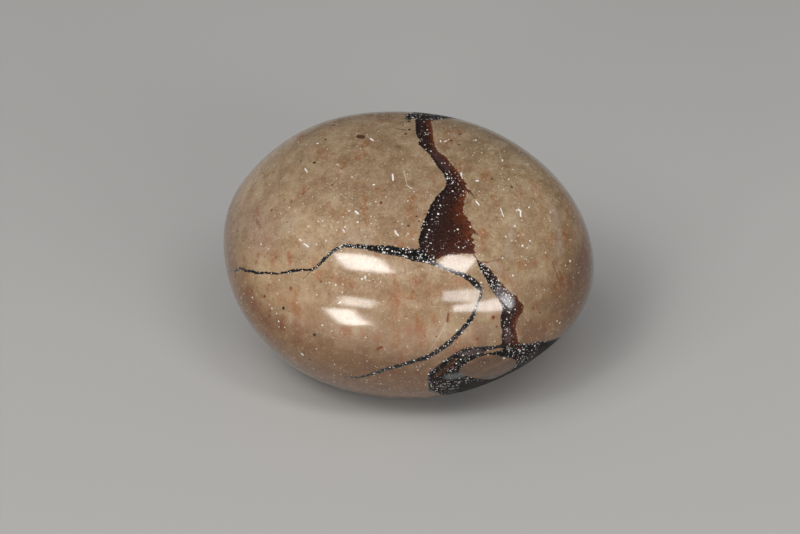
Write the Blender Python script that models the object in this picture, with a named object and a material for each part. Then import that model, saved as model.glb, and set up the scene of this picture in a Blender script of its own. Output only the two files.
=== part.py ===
"""A polished septarian nodule: one tumbled stone that rests on a small flat spot.

The stone is a single closed solid. It starts as a rounded block, and broad soft faces
wear the block back. Each face is given by the way that it looks and by its distance from
the stone's middle. Neighbouring faces blend into rounded shoulders, so there is no edge
anywhere except around the flat spot. The dark veins are only colour and add no shape.

Units are metres. +Z is up, +X runs along the stone's length and -Y is its front. The
origin is under the middle of the stone, on the plane of the flat spot.
"""

import math
from dataclasses import dataclass

import bmesh
import bpy
from mathutils import Matrix, Vector

MM = 0.001

# Half lengths of the rounded block, before the faces wear it back
BLOCK_HALF_LENGTH = 24.3 * MM
BLOCK_HALF_DEPTH = 15.8 * MM
BLOCK_HALF_HEIGHT = 15.0 * MM

# The block is turned a little about the vertical, and leans a little along its length
BLOCK_TURN = math.radians(-7.0)
BLOCK_LEAN = math.radians(-5.5)

# A low number melts the faces into each other, a high one gives tight shoulders
SHOULDER_TIGHTNESS = 8.0

# The flat spot lies this far under the middle of the block
REST_DEPTH = 12.5 * MM

# Halvings of the starting icosahedron: 5 gives edges of about 1.3 mm
FINENESS = 5

# Creases sharper than this stay crisp: only the rim of the flat spot
CREASE_ANGLE = math.radians(12.0)

# Points this near to the rest plane are laid on it, which avoids sliver triangles
SNAP = 0.03 * MM

LIMESTONE_COLOUR = (0.40, 0.29, 0.19, 1.0)
POLISH_ROUGHNESS = 0.22


@dataclass(frozen=True)
class WornFace:
    """A broad soft face.

    bearing: degrees round the vertical, 0 at the front and 90 at the right end.
    rise: degrees above the horizontal, negative where the face looks down.
    distance: how far the face lies from the middle of the block.
    """

    bearing: float
    rise: float
    distance: float

    def outward(self):
        bearing = math.radians(self.bearing)
        rise = math.radians(self.rise)
        flat = math.cos(rise)
        return Vector((flat * math.sin(bearing), -flat * math.cos(bearing), math.sin(rise)))


WORN_FACES = {
    "crown": WornFace(0, 75, 12.0 * MM),
    "brow": WornFace(0, 60, 14.1 * MM),
    "front": WornFace(-20, 37, 14.5 * MM),
    "front right": WornFace(40, 25, 15.1 * MM),
    "left shoulder": WornFace(-85, 45, 16.7 * MM),
    "left heel": WornFace(-85, -30, 18.9 * MM),
    "right end": WornFace(95, -5, 18.8 * MM),
    "right back": WornFace(120, 30, 16.9 * MM),
    "back": WornFace(165, 10, 16.8 * MM),
    "right heel": WornFace(60, -55, 14.3 * MM),
    "front heel": WornFace(-5, -15, 17.9 * MM),
    "underside": WornFace(0, -90, 13.4 * MM),
}


def radius_towards(direction):
    """Distance from the middle of the block to the surface, along a unit direction."""
    turned_back = Matrix.Rotation(-BLOCK_TURN, 3, "Z") @ direction
    along = Matrix.Rotation(BLOCK_LEAN, 3, "Y") @ turned_back
    block = (
        (along.x / BLOCK_HALF_LENGTH) ** 2
        + (along.y / BLOCK_HALF_DEPTH) ** 2
        + (along.z / BLOCK_HALF_HEIGHT) ** 2
    )
    closeness = block ** (SHOULDER_TIGHTNESS / 2)
    for face in WORN_FACES.values():
        towards_face = max(0.0, direction.dot(face.outward()))
        closeness += (towards_face / face.distance) ** SHOULDER_TIGHTNESS
    return closeness ** (-1.0 / SHOULDER_TIGHTNESS)


def cut_flat_spot(shape):
    """Cut the stone off flat at the rest plane and close the cut with one face."""
    everything = shape.verts[:] + shape.edges[:] + shape.faces[:]
    cut = bmesh.ops.bisect_plane(
        shape,
        geom=everything,
        dist=SNAP,
        plane_co=(0.0, 0.0, -REST_DEPTH),
        plane_no=(0.0, 0.0, -1.0),
        clear_outer=True,
    )
    rim = [item for item in cut["geom_cut"] if isinstance(item, bmesh.types.BMEdge)]
    for edge in rim:
        for corner in edge.verts:
            corner.co.z = -REST_DEPTH
    bmesh.ops.contextual_create(shape, geom=rim)


def set_on_origin(shape):
    """Centre the stone over the origin and stand its lowest point at zero height."""
    lowest = Vector([min(vertex.co[axis] for vertex in shape.verts) for axis in range(3)])
    highest = Vector([max(vertex.co[axis] for vertex in shape.verts) for axis in range(3)])
    middle = (lowest + highest) / 2
    bmesh.ops.translate(shape, verts=shape.verts, vec=(-middle.x, -middle.y, -lowest.z))


def make_limestone():
    material = bpy.data.materials.new("polished limestone")
    material.use_nodes = True
    surface = material.node_tree.nodes["Principled BSDF"]
    surface.inputs["Base Color"].default_value = LIMESTONE_COLOUR
    surface.inputs["Roughness"].default_value = POLISH_ROUGHNESS
    surface.inputs["Metallic"].default_value = 0.0
    material.diffuse_color = LIMESTONE_COLOUR
    return material


def make_nodule():
    shape = bmesh.new()
    bmesh.ops.create_icosphere(shape, subdivisions=FINENESS, radius=1.0)
    for vertex in shape.verts:
        direction = vertex.co.normalized()
        vertex.co = direction * radius_towards(direction)
    cut_flat_spot(shape)
    set_on_origin(shape)
    bmesh.ops.recalc_face_normals(shape, faces=shape.faces)

    mesh = bpy.data.meshes.new("nodule")
    shape.to_mesh(mesh)
    shape.free()
    mesh.shade_smooth()
    mesh.set_sharp_from_angle(angle=CREASE_ANGLE)
    mesh.materials.append(make_limestone())
    nodule = bpy.data.objects.new("nodule", mesh)
    bpy.context.scene.collection.objects.link(nodule)
    return nodule


def remove_everything():
    for thing in list(bpy.data.objects):
        bpy.data.objects.remove(thing, do_unlink=True)


remove_everything()
make_nodule()
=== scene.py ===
"""Looks of a tumbled and polished septarian nodule.

The stone is one smooth body of tan limestone. Its veins are flush with the polish, so they
are drawn by the material, between banks that are laid over the surface and measured from
every point of the mesh. Banks on the side that the photo shows are given by photo pixels,
and those on the hidden side by the way that one would look for them from the middle of the
stone. Shapes are worked out in millimetres round the middle of the stone's block, and are
moved to metres in the shared frame when a mesh or a light is made.
"""

import logging
import math
from dataclasses import dataclass, field
from enum import Enum
from typing import Any, Callable, Iterable, Sequence, Union

import bmesh
import bpy
import numpy as np
from mathutils import Matrix, Vector


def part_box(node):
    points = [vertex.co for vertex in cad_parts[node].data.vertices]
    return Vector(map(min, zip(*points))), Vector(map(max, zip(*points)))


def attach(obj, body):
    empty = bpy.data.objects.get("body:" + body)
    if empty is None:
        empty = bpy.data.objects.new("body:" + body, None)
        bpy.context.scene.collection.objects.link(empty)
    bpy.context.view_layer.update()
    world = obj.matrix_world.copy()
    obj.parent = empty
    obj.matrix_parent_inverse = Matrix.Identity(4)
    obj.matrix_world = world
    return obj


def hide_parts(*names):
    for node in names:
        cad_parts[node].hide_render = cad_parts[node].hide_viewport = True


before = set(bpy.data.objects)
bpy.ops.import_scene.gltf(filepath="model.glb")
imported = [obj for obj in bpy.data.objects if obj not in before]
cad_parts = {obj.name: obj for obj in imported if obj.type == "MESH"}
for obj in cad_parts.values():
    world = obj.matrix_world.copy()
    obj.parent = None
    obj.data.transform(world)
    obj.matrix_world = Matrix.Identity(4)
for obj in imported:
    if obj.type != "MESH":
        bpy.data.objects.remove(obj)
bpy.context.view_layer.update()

MM = 0.001
NODE = "nodule"
BODY = "root"
LOG = logging.getLogger("septarian nodule")

Colour = tuple[float, float, float, float]
Photo = tuple[float, float]
Way = tuple[float, float]

# What the polish adds to the stone's own colour, and to that of its dull veins
STONE_SHEEN = 0.02
VEIN_SHEEN = 0.01

# How brightly the studio lights the stone, and the darkest that a colour of it can be
LIGHT_SHARE = 0.98
DARKEST = 0.004


def linear(red: int, green: int, blue: int) -> Colour:
    """Turn a screen colour, 0 to 255 a channel, into the linear colour that shaders take."""
    shares = np.array((red, green, blue)) / 255
    bright = np.where(shares <= 0.04045, shares / 12.92, ((shares + 0.055) / 1.055) ** 2.4)
    return (*bright.tolist(), 1.0)


def seen(red: int, green: int, blue: int, sheen: float = STONE_SHEEN) -> Colour:
    """Turn a colour of the lit stone in the photo into the stone's own colour.

    Args:
        red: red channel, 0 to 255.
        green: green channel.
        blue: blue channel.
        sheen: what the polish adds to it, which is taken off again.

    Returns:
        The linear colour, never quite black.
    """
    own = [max(DARKEST, (value - sheen) / LIGHT_SHARE) for value in linear(red, green, blue)[:3]]
    return (*own, 1.0)


def seen_dull(red: int, green: int, blue: int) -> Colour:
    """Same as seen, but for a vein, which has lost most of its polish."""
    return seen(red, green, blue, VEIN_SHEEN)


def unit(vectors: np.ndarray) -> np.ndarray:
    """Scale vectors along the last axis to length one."""
    return vectors / np.linalg.norm(vectors, axis=-1, keepdims=True)


def heading_vector(bearing: float, rise: float) -> np.ndarray:
    """Unit vector for a bearing round the vertical, 0 in front and 90 right, and a rise."""
    turn, lift = math.radians(bearing), math.radians(rise)
    flat = math.cos(lift)
    return np.array([flat * math.sin(turn), -flat * math.cos(turn), math.sin(lift)])


@dataclass(frozen=True)
class WornFace:
    """A broad soft face: the bearing and rise that it looks in, and its distance in mm."""

    bearing: float
    rise: float
    distance: float


@dataclass(frozen=True)
class StoneForm:
    """The form of the stone: a rounded block worn back by broad soft faces.

    Attributes:
        half_sizes: half lengths of the block along its own axes, in mm.
        turn: turn of the block about the vertical, in degrees.
        lean: lean of the block along its length, in degrees.
        tightness: how tight the shoulders between the faces are.
        rest_depth: how far the flat spot lies under the middle, in mm.
        faces: the faces that wear the block back.
    """

    half_sizes: tuple[float, float, float] = (24.3, 15.8, 15.0)
    turn: float = -7.0
    lean: float = -5.5
    tightness: float = 8.0
    rest_depth: float = 12.5
    faces: tuple[WornFace, ...] = (
        WornFace(0, 75, 12.0),
        WornFace(0, 60, 14.1),
        WornFace(-20, 37, 14.5),
        WornFace(40, 25, 15.1),
        WornFace(-85, 45, 16.7),
        WornFace(-85, -30, 18.9),
        WornFace(95, -5, 18.8),
        WornFace(120, 30, 16.9),
        WornFace(165, 10, 16.8),
        WornFace(60, -55, 14.3),
        WornFace(-5, -15, 17.9),
        WornFace(0, -90, 13.4),
    )

    def gauge(self, points: np.ndarray) -> tuple[np.ndarray, np.ndarray]:
        """Measure how far out points lie, as a share of the way to the surface.

        Args:
            points: places round the middle of the block, in mm.

        Returns:
            The share, which is 1 on the surface, and its slope, which looks outward.
        """
        turn = np.array(Matrix.Rotation(math.radians(-self.turn), 3, "Z"))
        lean = np.array(Matrix.Rotation(math.radians(self.lean), 3, "Y"))
        axes = lean @ turn
        halves = np.array(self.half_sizes)
        ways = np.array([heading_vector(f.bearing, f.rise) / f.distance for f in self.faces])
        along = (points @ axes.T) / halves
        block = (along**2).sum(-1)
        worn = np.maximum(0.0, points @ ways.T)
        power = self.tightness
        total = block ** (power / 2) + (worn**power).sum(-1)
        block_slope = power * block[..., None] ** (power / 2 - 1) * ((along / halves) @ axes)
        worn_slope = power * (worn ** (power - 1)) @ ways
        slope = (total[..., None] ** (1 / power - 1)) * (block_slope + worn_slope) / power
        return total ** (1 / power), slope

    def towards(self, directions: np.ndarray) -> np.ndarray:
        """Find the places on the surface that lie along directions from the middle."""
        ways = unit(np.asarray(directions, float))
        return ways / self.gauge(ways)[0][..., None]

    def outward(self, points: np.ndarray) -> np.ndarray:
        """Unit vectors that look straight out of the surface at points on it."""
        return unit(self.gauge(points)[1])


# A sight line is followed to the stone in so many steps, none longer than the stride in mm,
# and has reached it where the surface is as near as the slack. One that misses the stone is
# sampled at so many places for the one nearest to it.
TRACE_STEPS = 40
TRACE_STRIDE = 5.0
TRACE_SLACK = 1e-4
RIM_SAMPLES = 2001


@dataclass(frozen=True)
class PhotoView:
    """The photo's camera, which looks at the stone from in front and above.

    Attributes:
        form: the stone that the camera looks at.
        rise: how high the camera looks down from, in degrees.
        roll: how far the camera is rolled, in degrees.
        distance: from the camera to the middle of the block, in mm.
        pixel: what one pixel covers at that distance, in mm.
        middle: the pixel that the middle of the block shows at.
        size: width and height of the photo, in pixels.
    """

    form: StoneForm
    rise: float = 36.0
    roll: float = 2.5
    distance: float = 569.25
    pixel: float = 0.1035
    middle: tuple[float, float] = (418.9, 257.5)
    size: tuple[int, int] = (800, 534)

    def axes(self) -> tuple[np.ndarray, np.ndarray, np.ndarray]:
        """Unit vectors to the right in the photo, up in it, and back to the camera."""
        lift, tip = math.radians(self.rise), math.radians(self.roll)
        right = np.array([1.0, 0.0, 0.0])
        up = np.array([0.0, math.sin(lift), math.cos(lift)])
        back = np.array([0.0, -math.cos(lift), math.sin(lift)])
        across = math.cos(tip) * right - math.sin(tip) * up
        upward = math.sin(tip) * right + math.cos(tip) * up
        return across, upward, back

    def eye(self) -> np.ndarray:
        """Where the camera stands, so that the photo's middle pixel is straight ahead."""
        across, upward, back = self.axes()
        aside = (self.size[0] / 2 - self.middle[0]) * self.pixel
        down = (self.size[1] / 2 - self.middle[1]) * self.pixel
        return back * self.distance + across * aside - upward * down

    def trace(self, pixels: Sequence[Sequence[float]]) -> np.ndarray:
        """Find the places on the stone that show at pixels of the photo.

        A pixel just outside the stone's outline gives the nearest place on its rim.

        Args:
            pixels: pairs of photo coordinates.

        Returns:
            One place for each pixel, in mm.
        """
        across, upward, _ = self.axes()
        eye = self.eye()
        spots = np.asarray(pixels, float).reshape(-1, 2)
        aside = (spots[:, :1] - self.middle[0]) * self.pixel
        down = (spots[:, 1:] - self.middle[1]) * self.pixel
        ways = unit(aside * across - down * upward - eye)
        travel = np.full(len(ways), self.distance - 2 * max(self.form.half_sizes))
        for _ in range(TRACE_STEPS):
            share, slope = self.form.gauge(eye + travel[:, None] * ways)
            closing = np.minimum((slope * ways).sum(-1), -1e-9)
            travel += np.clip((1 - share) / closing, -TRACE_STRIDE, TRACE_STRIDE)
        places = eye + travel[:, None] * ways
        missed = np.abs(self.form.gauge(places)[0] - 1) > TRACE_SLACK
        for index in np.flatnonzero(missed):
            reach = np.linspace(-1, 1, RIM_SAMPLES) * self.form.half_sizes[0] + self.distance
            path = eye + reach[:, None] * ways[index]
            share = self.form.gauge(path)[0]
            nearest = int(share.argmin())
            places[index] = path[nearest] / share[nearest]
        return places

    def mirrored(self, pixels: Sequence[Sequence[float]], distance: float) -> np.ndarray:
        """Find what the polish mirrors at pixels of the photo.

        Args:
            pixels: pairs of photo coordinates.
            distance: how far from the stone the mirrored things are, in mm.

        Returns:
            One place for each pixel, in mm.
        """
        places = self.trace(pixels)
        outward = self.form.outward(places)
        sight = unit(places - self.eye())
        bounced = sight - 2 * (sight * outward).sum(-1, keepdims=True) * outward
        return places + bounced * distance


@dataclass(frozen=True)
class Seat:
    """Where the middle of the block stands in the shared frame, in metres."""

    origin: Vector

    def place(self, point: Iterable[float]) -> Vector:
        """Move a place from mm round the block's middle to metres in the shared frame."""
        return self.origin + Vector(tuple(point)) * MM

    def local(self, point: Iterable[float]) -> tuple[float, float, float]:
        """Same as place, but in millimetres, as the material measures."""
        moved = self.place(point) / MM
        return (moved.x, moved.y, moved.z)


@dataclass(frozen=True)
class Bank:
    """One edge of a vein: a run in photo pixels, then a run by bearing and rise.

    Attributes:
        photo: places given by photo pixels.
        hidden: places on the hidden side, each a bearing and a rise in degrees.
        hidden_first: whether the hidden run comes before the one in the photo.
    """

    photo: tuple[Photo, ...] = ()
    hidden: tuple[Way, ...] = ()
    hidden_first: bool = False

    def places(self, view: PhotoView) -> np.ndarray:
        """Lay the edge over the stone, in mm."""
        runs = []
        if self.photo:
            runs.append(view.trace(self.photo))
        if self.hidden:
            ways = np.array([heading_vector(*way) for way in self.hidden])
            runs.append(view.form.towards(ways))
        if self.hidden_first:
            runs.reverse()
        return np.concatenate(runs)


class Filling(Enum):
    """What fills a vein: how brown it is, how thickly its crystals are painted as glints, and how red
    it is.
    """

    BLACK = (0.0, 1.0, 0.0)
    BROWN = (1.0, 0.16, 0.0)
    DULL_BLACK = (0.15, 0.35, 0.0)
    RUST = (1.0, 0.0, 0.75)


@dataclass(frozen=True)
class Vein:
    """A wide vein between two banks, the second of which is its redder one."""

    name: str
    first: Bank
    second: Bank
    filling: Filling

    def banks(self, view: PhotoView) -> tuple[np.ndarray, np.ndarray]:
        """Lay both banks over the stone."""
        return self.first.places(view), self.second.places(view)


@dataclass(frozen=True)
class Crack:
    """A thin vein, or an unfilled island of stone in a vein, by x, y and width in pixels."""

    name: str
    line: tuple[tuple[float, float, float], ...]
    filling: Union[Filling, None] = None

    def banks(self, view: PhotoView) -> tuple[np.ndarray, np.ndarray]:
        """Lay both banks over the stone, half a width to each side of the line."""
        trace = np.array(self.line, float)
        along = np.gradient(trace[:, :2], axis=0)
        along /= np.linalg.norm(along, axis=1, keepdims=True)
        aside = np.stack([-along[:, 1], along[:, 0]], 1) * trace[:, 2:] / 2
        return view.trace(trace[:, :2] + aside), view.trace(trace[:, :2] - aside)


@dataclass(frozen=True)
class HiddenVein:
    """A vein where the photo doesn't reach, as bearing, rise and width in mm.

    Attributes:
        name: plain name of the vein.
        line: bearing and rise in degrees and width in mm of each place on it.
        filling: what fills the vein.
        seed: starts the random draw of its wander.
        wander: how far its banks stray from a smooth curve, in mm.
        step: distance between places on its banks, in mm.
        ease: distance from both ends over which the wander grows, in mm.
        shared_waves: wave lengths of the wander that both banks share, in mm.
        own_waves: wave lengths of the wander that each bank has for itself, in mm.
    """

    name: str
    line: tuple[tuple[float, float, float], ...]
    filling: Filling
    seed: int
    wander: float = 0.35
    step: float = 0.6
    ease: float = 2.0
    shared_waves: tuple[float, ...] = (9.0, 4.5, 2.2)
    own_waves: tuple[float, ...] = (5.0, 2.4, 1.1)

    def banks(self, view: PhotoView) -> tuple[np.ndarray, np.ndarray]:
        """Lay both banks over the stone, with a seeded wander on each."""
        knots = view.form.towards(np.array([heading_vector(b, r) for b, r, _ in self.line]))
        widths = np.array([width for _, _, width in self.line])
        curve, spans = self.smooth(knots, widths)
        places = view.form.towards(curve)
        outward = view.form.outward(places)
        along = unit(np.gradient(places, axis=0))
        aside = unit(np.cross(along, outward))
        draw = np.random.default_rng(self.seed)
        travelled = np.concatenate([[0], np.linalg.norm(np.diff(places, axis=0), axis=1).cumsum()])
        ease = np.minimum(1.0, np.minimum(travelled, travelled[-1] - travelled) / self.ease)
        banks = []
        shared = self.waves(draw, travelled, self.shared_waves)
        for side in (-1.0, 1.0):
            stray = (shared + 0.5 * self.waves(draw, travelled, self.own_waves)) * ease
            banks.append(view.form.towards(places + aside * (side * spans / 2 + stray)[:, None]))
        return banks[0], banks[1]

    def smooth(self, knots: np.ndarray, widths: np.ndarray) -> tuple[np.ndarray, np.ndarray]:
        """Run a Catmull-Rom curve through the knots.

        Args:
            knots: places that the curve passes, in mm.
            widths: width of the vein at each of them, in mm.

        Returns:
            Places along the curve and the width at each.
        """
        rows = np.column_stack([knots, widths])
        rows = np.concatenate([[2 * rows[0] - rows[1]], rows, [2 * rows[-1] - rows[-2]]])
        out = []
        for before, start, end, after in zip(rows, rows[1:], rows[2:], rows[3:]):
            count = max(2, int(np.linalg.norm(end[:3] - start[:3]) / self.step))
            for share in np.arange(count) / count:
                bend = 2 * before - 5 * start + 4 * end - after
                twist = 3 * start - before - 3 * end + after
                run = (end - before) * share + bend * share**2 + twist * share**3
                out.append(start + run / 2)
        out.append(rows[-2])
        curve = np.array(out)
        return curve[:, :3], np.maximum(curve[:, 3], 0.02)

    def waves(
        self, draw: np.random.Generator, travelled: np.ndarray, lengths: Sequence[float]
    ) -> np.ndarray:
        """Add up a few waves of random phase along the vein.

        Args:
            draw: the vein's own random draw.
            travelled: distance along the vein, in mm.
            lengths: wave lengths, in mm; a shorter wave is lower in proportion.

        Returns:
            How far to stray at each place, in mm.
        """
        stray = np.zeros_like(travelled)
        for length in lengths:
            phase = draw.uniform(0, 2 * math.pi)
            stray += np.sin(2 * math.pi * travelled / length + phase) * length / lengths[0]
        return stray * self.wander


AnyVein = Union[Vein, Crack, HiddenVein]


def even(line: np.ndarray, count: int) -> np.ndarray:
    """Place points evenly along a line.

    Args:
        line: corners of the line.
        count: number of points.

    Returns:
        The evenly spread points.
    """
    travelled = np.concatenate([[0], np.linalg.norm(np.diff(line, axis=0), axis=1).cumsum()])
    wanted = np.linspace(0, travelled[-1], count)
    return np.stack([np.interp(wanted, travelled, line[:, axis]) for axis in range(3)], 1)


def measure_line(
    points: np.ndarray, line: np.ndarray, form: StoneForm
) -> tuple[np.ndarray, np.ndarray]:
    """Measure points against a line on the surface.

    Args:
        points: places to measure, in mm.
        line: corners of the line, in mm.
        form: the stone that both lie on.

    Returns:
        The distance to the line, positive on the right of its travel, and how far along
        the line each point lies, which goes on past both of its ends.
    """
    runs = np.diff(line, axis=0)
    lengths = np.linalg.norm(runs, axis=1)
    along = runs / lengths[:, None]
    aside = unit(np.cross(along, form.outward((line[:-1] + line[1:]) / 2)))
    starts = np.concatenate([[0], lengths.cumsum()])
    best = np.full(len(points), np.inf)
    signed = np.zeros(len(points))
    travelled = np.zeros(len(points))
    last = len(runs) - 1
    for index in range(len(runs)):
        gap = points - line[index]
        share = gap @ along[index]
        held = np.clip(share, 0, lengths[index])
        off = gap - held[:, None] * along[index]
        square = (off**2).sum(-1)
        nearer = square < best
        best = np.where(nearer, square, best)
        before = aside[index] + aside[max(index - 1, 0)]
        after = aside[index] + aside[min(index + 1, last)]
        look = np.where((share >= lengths[index])[:, None], after, aside[index])
        look = np.where((share <= 0)[:, None], before, look)
        side = (off * look).sum(-1)
        value = np.sign(side) * np.sqrt(square)
        past_start = (index == 0) & (share < 0)
        past_end = (index == last) & (share > lengths[index])
        value = np.where(past_start | past_end, gap @ aside[index], value)
        reach = starts[index] + np.where(past_start | past_end, share, held)
        signed = np.where(nearer, value, signed)
        travelled = np.where(nearer, reach, travelled)
    return signed, travelled


@dataclass
class VeinMap:
    """Distances from the points of the stone to the banks of its veins.

    Attributes:
        view: the photo's camera, which places what the photo shows.
        limit: distances past this many mm are cut short.
    """

    view: PhotoView
    limit: float = 3.0

    def survey(self, points: np.ndarray, veins: Sequence[AnyVein]) -> tuple[np.ndarray, np.ndarray]:
        """Measure every point against every vein and keep the vein that it is deepest in.

        Args:
            points: places on the stone, in mm.
            veins: the veins.

        Returns:
            For each point, its distances inside both banks and its depth in the vein, and
            the brownness, glints and redness of that vein's filling.
        """
        banks = np.full((len(points), 3), -self.limit)
        filling = np.zeros((len(points), 3))
        for vein in veins:
            first, second = vein.banks(self.view)
            corners = np.concatenate([first, second])
            low, high = corners.min(0) - self.limit, corners.max(0) + self.limit
            near = np.flatnonzero(((points > low) & (points < high)).all(-1))
            found = self.depths(points[near], first, second)
            deeper = found[:, 2] > banks[near, 2]
            chosen = near[deeper]
            banks[chosen] = found[deeper]
            if vein.filling:
                filling[chosen] = vein.filling.value
            LOG.info("%s: %d points of the mesh", vein.name, int((found[:, 2] > 0).sum()))
        return np.clip(banks, -self.limit, self.limit), filling

    def depths(self, points: np.ndarray, first: np.ndarray, second: np.ndarray) -> np.ndarray:
        """Measure points against one vein.

        Args:
            points: places on the stone, in mm.
            first: corners of one bank.
            second: corners of the other bank.

        Returns:
            Distances inside the first and the second bank, and depth in the vein.
        """
        form = self.view.form
        count = max(len(first), len(second))
        across = even(second, count) - even(first, count)
        middle = even(first, count) + across / 2
        inside = []
        for bank, sense in ((first, 1.0), (second, -1.0)):
            distance, _ = measure_line(points, bank, form)
            runs = even(bank, count + 1)
            aside = np.cross(np.diff(runs, axis=0), form.outward((runs[:-1] + runs[1:]) / 2))
            turned = np.sign((aside * across * sense).sum())
            inside.append(distance * turned)
        _, travelled = measure_line(points, middle, form)
        length = np.linalg.norm(np.diff(middle, axis=0), axis=1).sum()
        depth = np.minimum.reduce([inside[0], inside[1], travelled, length - travelled])
        return np.stack([inside[0], inside[1], depth], 1)


WIDE_VEIN_DARK_BANK = Bank(
    photo=(
        (415.5, 119), (415.5, 128), (416, 133), (418, 138), (420, 140), (418, 144), (421, 146),
        (425, 150), (430, 155), (433, 160), (440, 170), (444, 175), (446, 180), (446, 185),
        (443, 190), (440, 192.5), (436, 197), (433, 201), (430, 206), (428, 211), (426, 216),
        (423.5, 221), (420.5, 229), (420.5, 233), (418.5, 241), (420, 248), (425, 256), (433, 262),
    )
)
WIDE_VEIN_RED_BANK = Bank(
    photo=(
        (430, 119), (432, 127), (433.5, 137), (435, 146), (437, 150), (441, 153.5), (445, 156),
        (450, 162), (455, 168), (460, 174.5), (463, 179.5), (467, 183), (466, 186.5), (469, 189.5),
        (466.5, 192.5), (466.5, 197), (464, 200), (465, 204), (463, 208), (464.5, 212), (464, 214.5),
        (468.5, 217.5), (467, 220), (472, 222), (470.5, 225), (474, 228), (472, 231.5), (473.5, 235),
        (471.5, 237), (475, 239.5), (472.5, 242.5), (475.8, 245.5), (473.8, 249), (475, 252),
        (473, 254), (465, 254), (455, 254.5), (448, 255.5),
        (441, 257.5), (434, 261),
    )
)
LOWER_BROWN_DARK_BANK = Bank(
    photo=(
        (477, 261), (478, 264), (479, 267.5), (481, 271), (484, 276), (488, 283), (491, 289),
        (494.5, 294), (498.5, 300), (502, 306), (502.5, 311), (500.5, 316), (500.5, 325),
        (502.5, 331), (501.5, 337), (502, 342), (499, 348),
    )
)
LOWER_BROWN_RED_BANK = Bank(
    photo=(
        (478, 260.5), (482, 262.5), (487, 266), (492, 271), (497, 276.5), (500, 281),
        (506, 288), (511, 293), (517.5, 295.5), (519, 300), (523, 303), (524, 307), (522.5, 313),
        (519, 317.5), (517, 322), (516, 328), (517, 334), (518.5, 341), (519, 348),
    )
)
LOWER_VEIN_TOP_BANK = Bank(
    photo=(
        (557, 338), (550, 340), (540, 341), (533, 343), (518, 344), (500, 345), (490, 346),
        (480, 346.5), (470, 347), (463, 348.5), (457, 352), (450, 356), (443, 361), (437, 366),
        (431, 370), (428, 373.5), (427.5, 380), (428, 387),
    ),
    hidden=((78, -11), (68, -14), (62, -16)),
    hidden_first=True,
)
LOWER_VEIN_UNDER_BANK = Bank(
    hidden=(
        (78, -17), (68, -23), (60, -27), (50, -33), (38, -38), (26, -42), (14, -43), (5, -39),
        (1, -31),
    )
)
RIM_VEIN_NEAR_BANK = Bank(
    photo=(
        (410.5, 119.5), (413, 118.3), (417, 118.6), (421, 119.2), (428, 120), (433, 120.3),
        (440, 119.3), (447, 118.6), (453, 118.6), (458, 119.2),
    )
)
RIM_VEIN_FAR_BANK = Bank(
    hidden=((-173, 61), (-177, 55), (176, 52), (168, 50), (160, 48), (152, 45), (145, 43)),
)

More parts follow.
